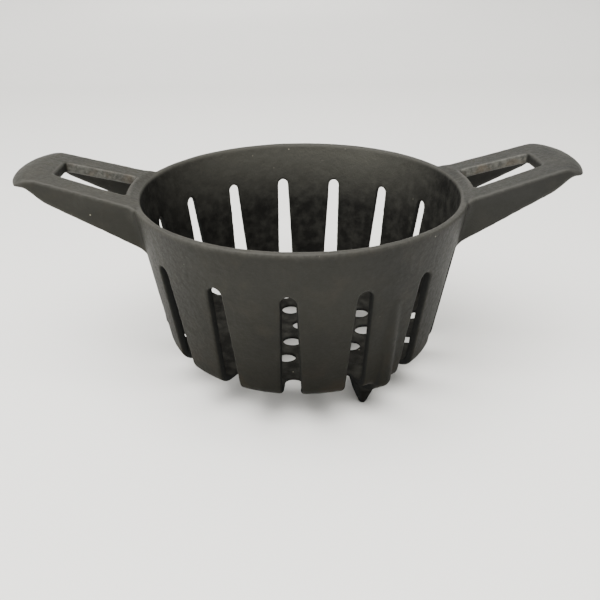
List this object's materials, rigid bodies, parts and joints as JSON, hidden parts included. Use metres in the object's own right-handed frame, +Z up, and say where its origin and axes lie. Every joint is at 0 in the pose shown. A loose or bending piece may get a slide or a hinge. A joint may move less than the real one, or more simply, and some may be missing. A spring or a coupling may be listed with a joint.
{
  "type": "cast iron basket strainer",
  "caption": "Round slotted cast-iron strainer basket with a perforated dished bottom, three short legs and two windowed wing handles, for lifting out with held-back solids.",
  "frame": {"origin": "on the floor under the middle of the basket, on the basket's axis, where its three feet stand", "axes": "+Z up along the basket's axis, +X toward one handle (the right one in the picture), -X toward the other handle"},
  "size_m": [0.3546, 0.2114, 0.1441],
  "materials": {
    "cast_iron": "sand-cast, dark charcoal, satin"
  },
  "bodies": {
    "root": {"rim_band": "cast_iron", "stave_01": "cast_iron", "stave_02": "cast_iron", "stave_03": "cast_iron", "stave_04": "cast_iron", "stave_05": "cast_iron", "stave_06": "cast_iron", "stave_07": "cast_iron", "stave_08": "cast_iron", "stave_09": "cast_iron", "stave_10": "cast_iron", "stave_11": "cast_iron", "stave_12": "cast_iron", "stave_13": "cast_iron", "stave_14": "cast_iron", "stave_15": "cast_iron", "bottom_plate": "cast_iron", "leg_left": "cast_iron", "leg_right_back": "cast_iron", "leg_right_front": "cast_iron", "handle_left_plate": "cast_iron", "handle_left_skirt_back": "cast_iron", "handle_left_skirt_front": "cast_iron", "handle_right_plate": "cast_iron", "handle_right_skirt_back": "cast_iron", "handle_right_skirt_front": "cast_iron"}
  },
  "joints": []
}
